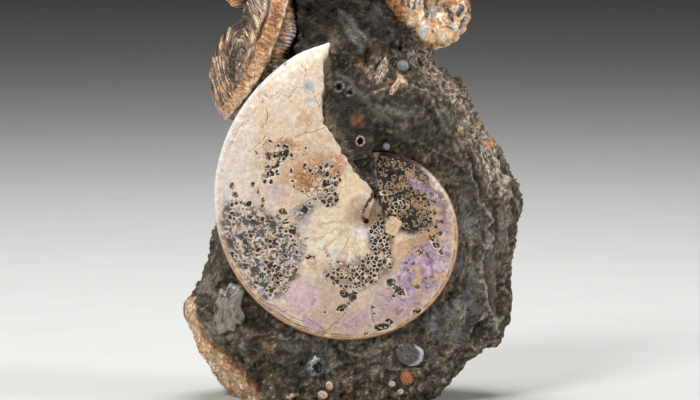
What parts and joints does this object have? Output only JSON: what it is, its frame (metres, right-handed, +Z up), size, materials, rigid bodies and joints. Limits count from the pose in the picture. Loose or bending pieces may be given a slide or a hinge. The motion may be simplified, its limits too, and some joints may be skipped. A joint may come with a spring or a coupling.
{
  "type": "fossil ammonite",
  "caption": "Fossil ammonite cluster: a disc-shaped nacreous ammonite and hooked ammonites standing in a block of dark concretion stone.",
  "frame": {"origin": "middle of the flat foot that the stone stands on", "axes": "+Z up, +X to the right seen from the display face, +Y into the stone; the display face looks along -Y"},
  "size_m": [0.2331, 0.1129, 0.3167],
  "materials": {
    "stone_dark": "broken, matt with smooth scars",
    "nacre_pale": "polished nacre",
    "shell_brown": "satin, ribbed",
    "nacre_gold": "polished nacre",
    "shell_grey": "satin",
    "shell_tan": "matt",
    "shell_rust": "matt"
  },
  "bodies": {
    "root": {"large_ammonite": "nacre_pale", "hooked_ammonite_left": "shell_brown", "hooked_ammonite_right": "nacre_gold", "clam_left": "shell_grey", "clam_right": "shell_grey", "rust_shell": "shell_rust", "snail_1": "shell_tan", "snail_2": "shell_tan", "snail_3": "shell_tan", "snail_4": "shell_tan", "hollow_shell": "shell_grey", "pearly_drop": "shell_grey", "pearly_disc": "shell_grey", "shell_fragment_1": "shell_tan", "shell_fragment_2": "shell_tan", "worm_tube": "shell_tan", "stone": "stone_dark"}
  },
  "joints": []
}
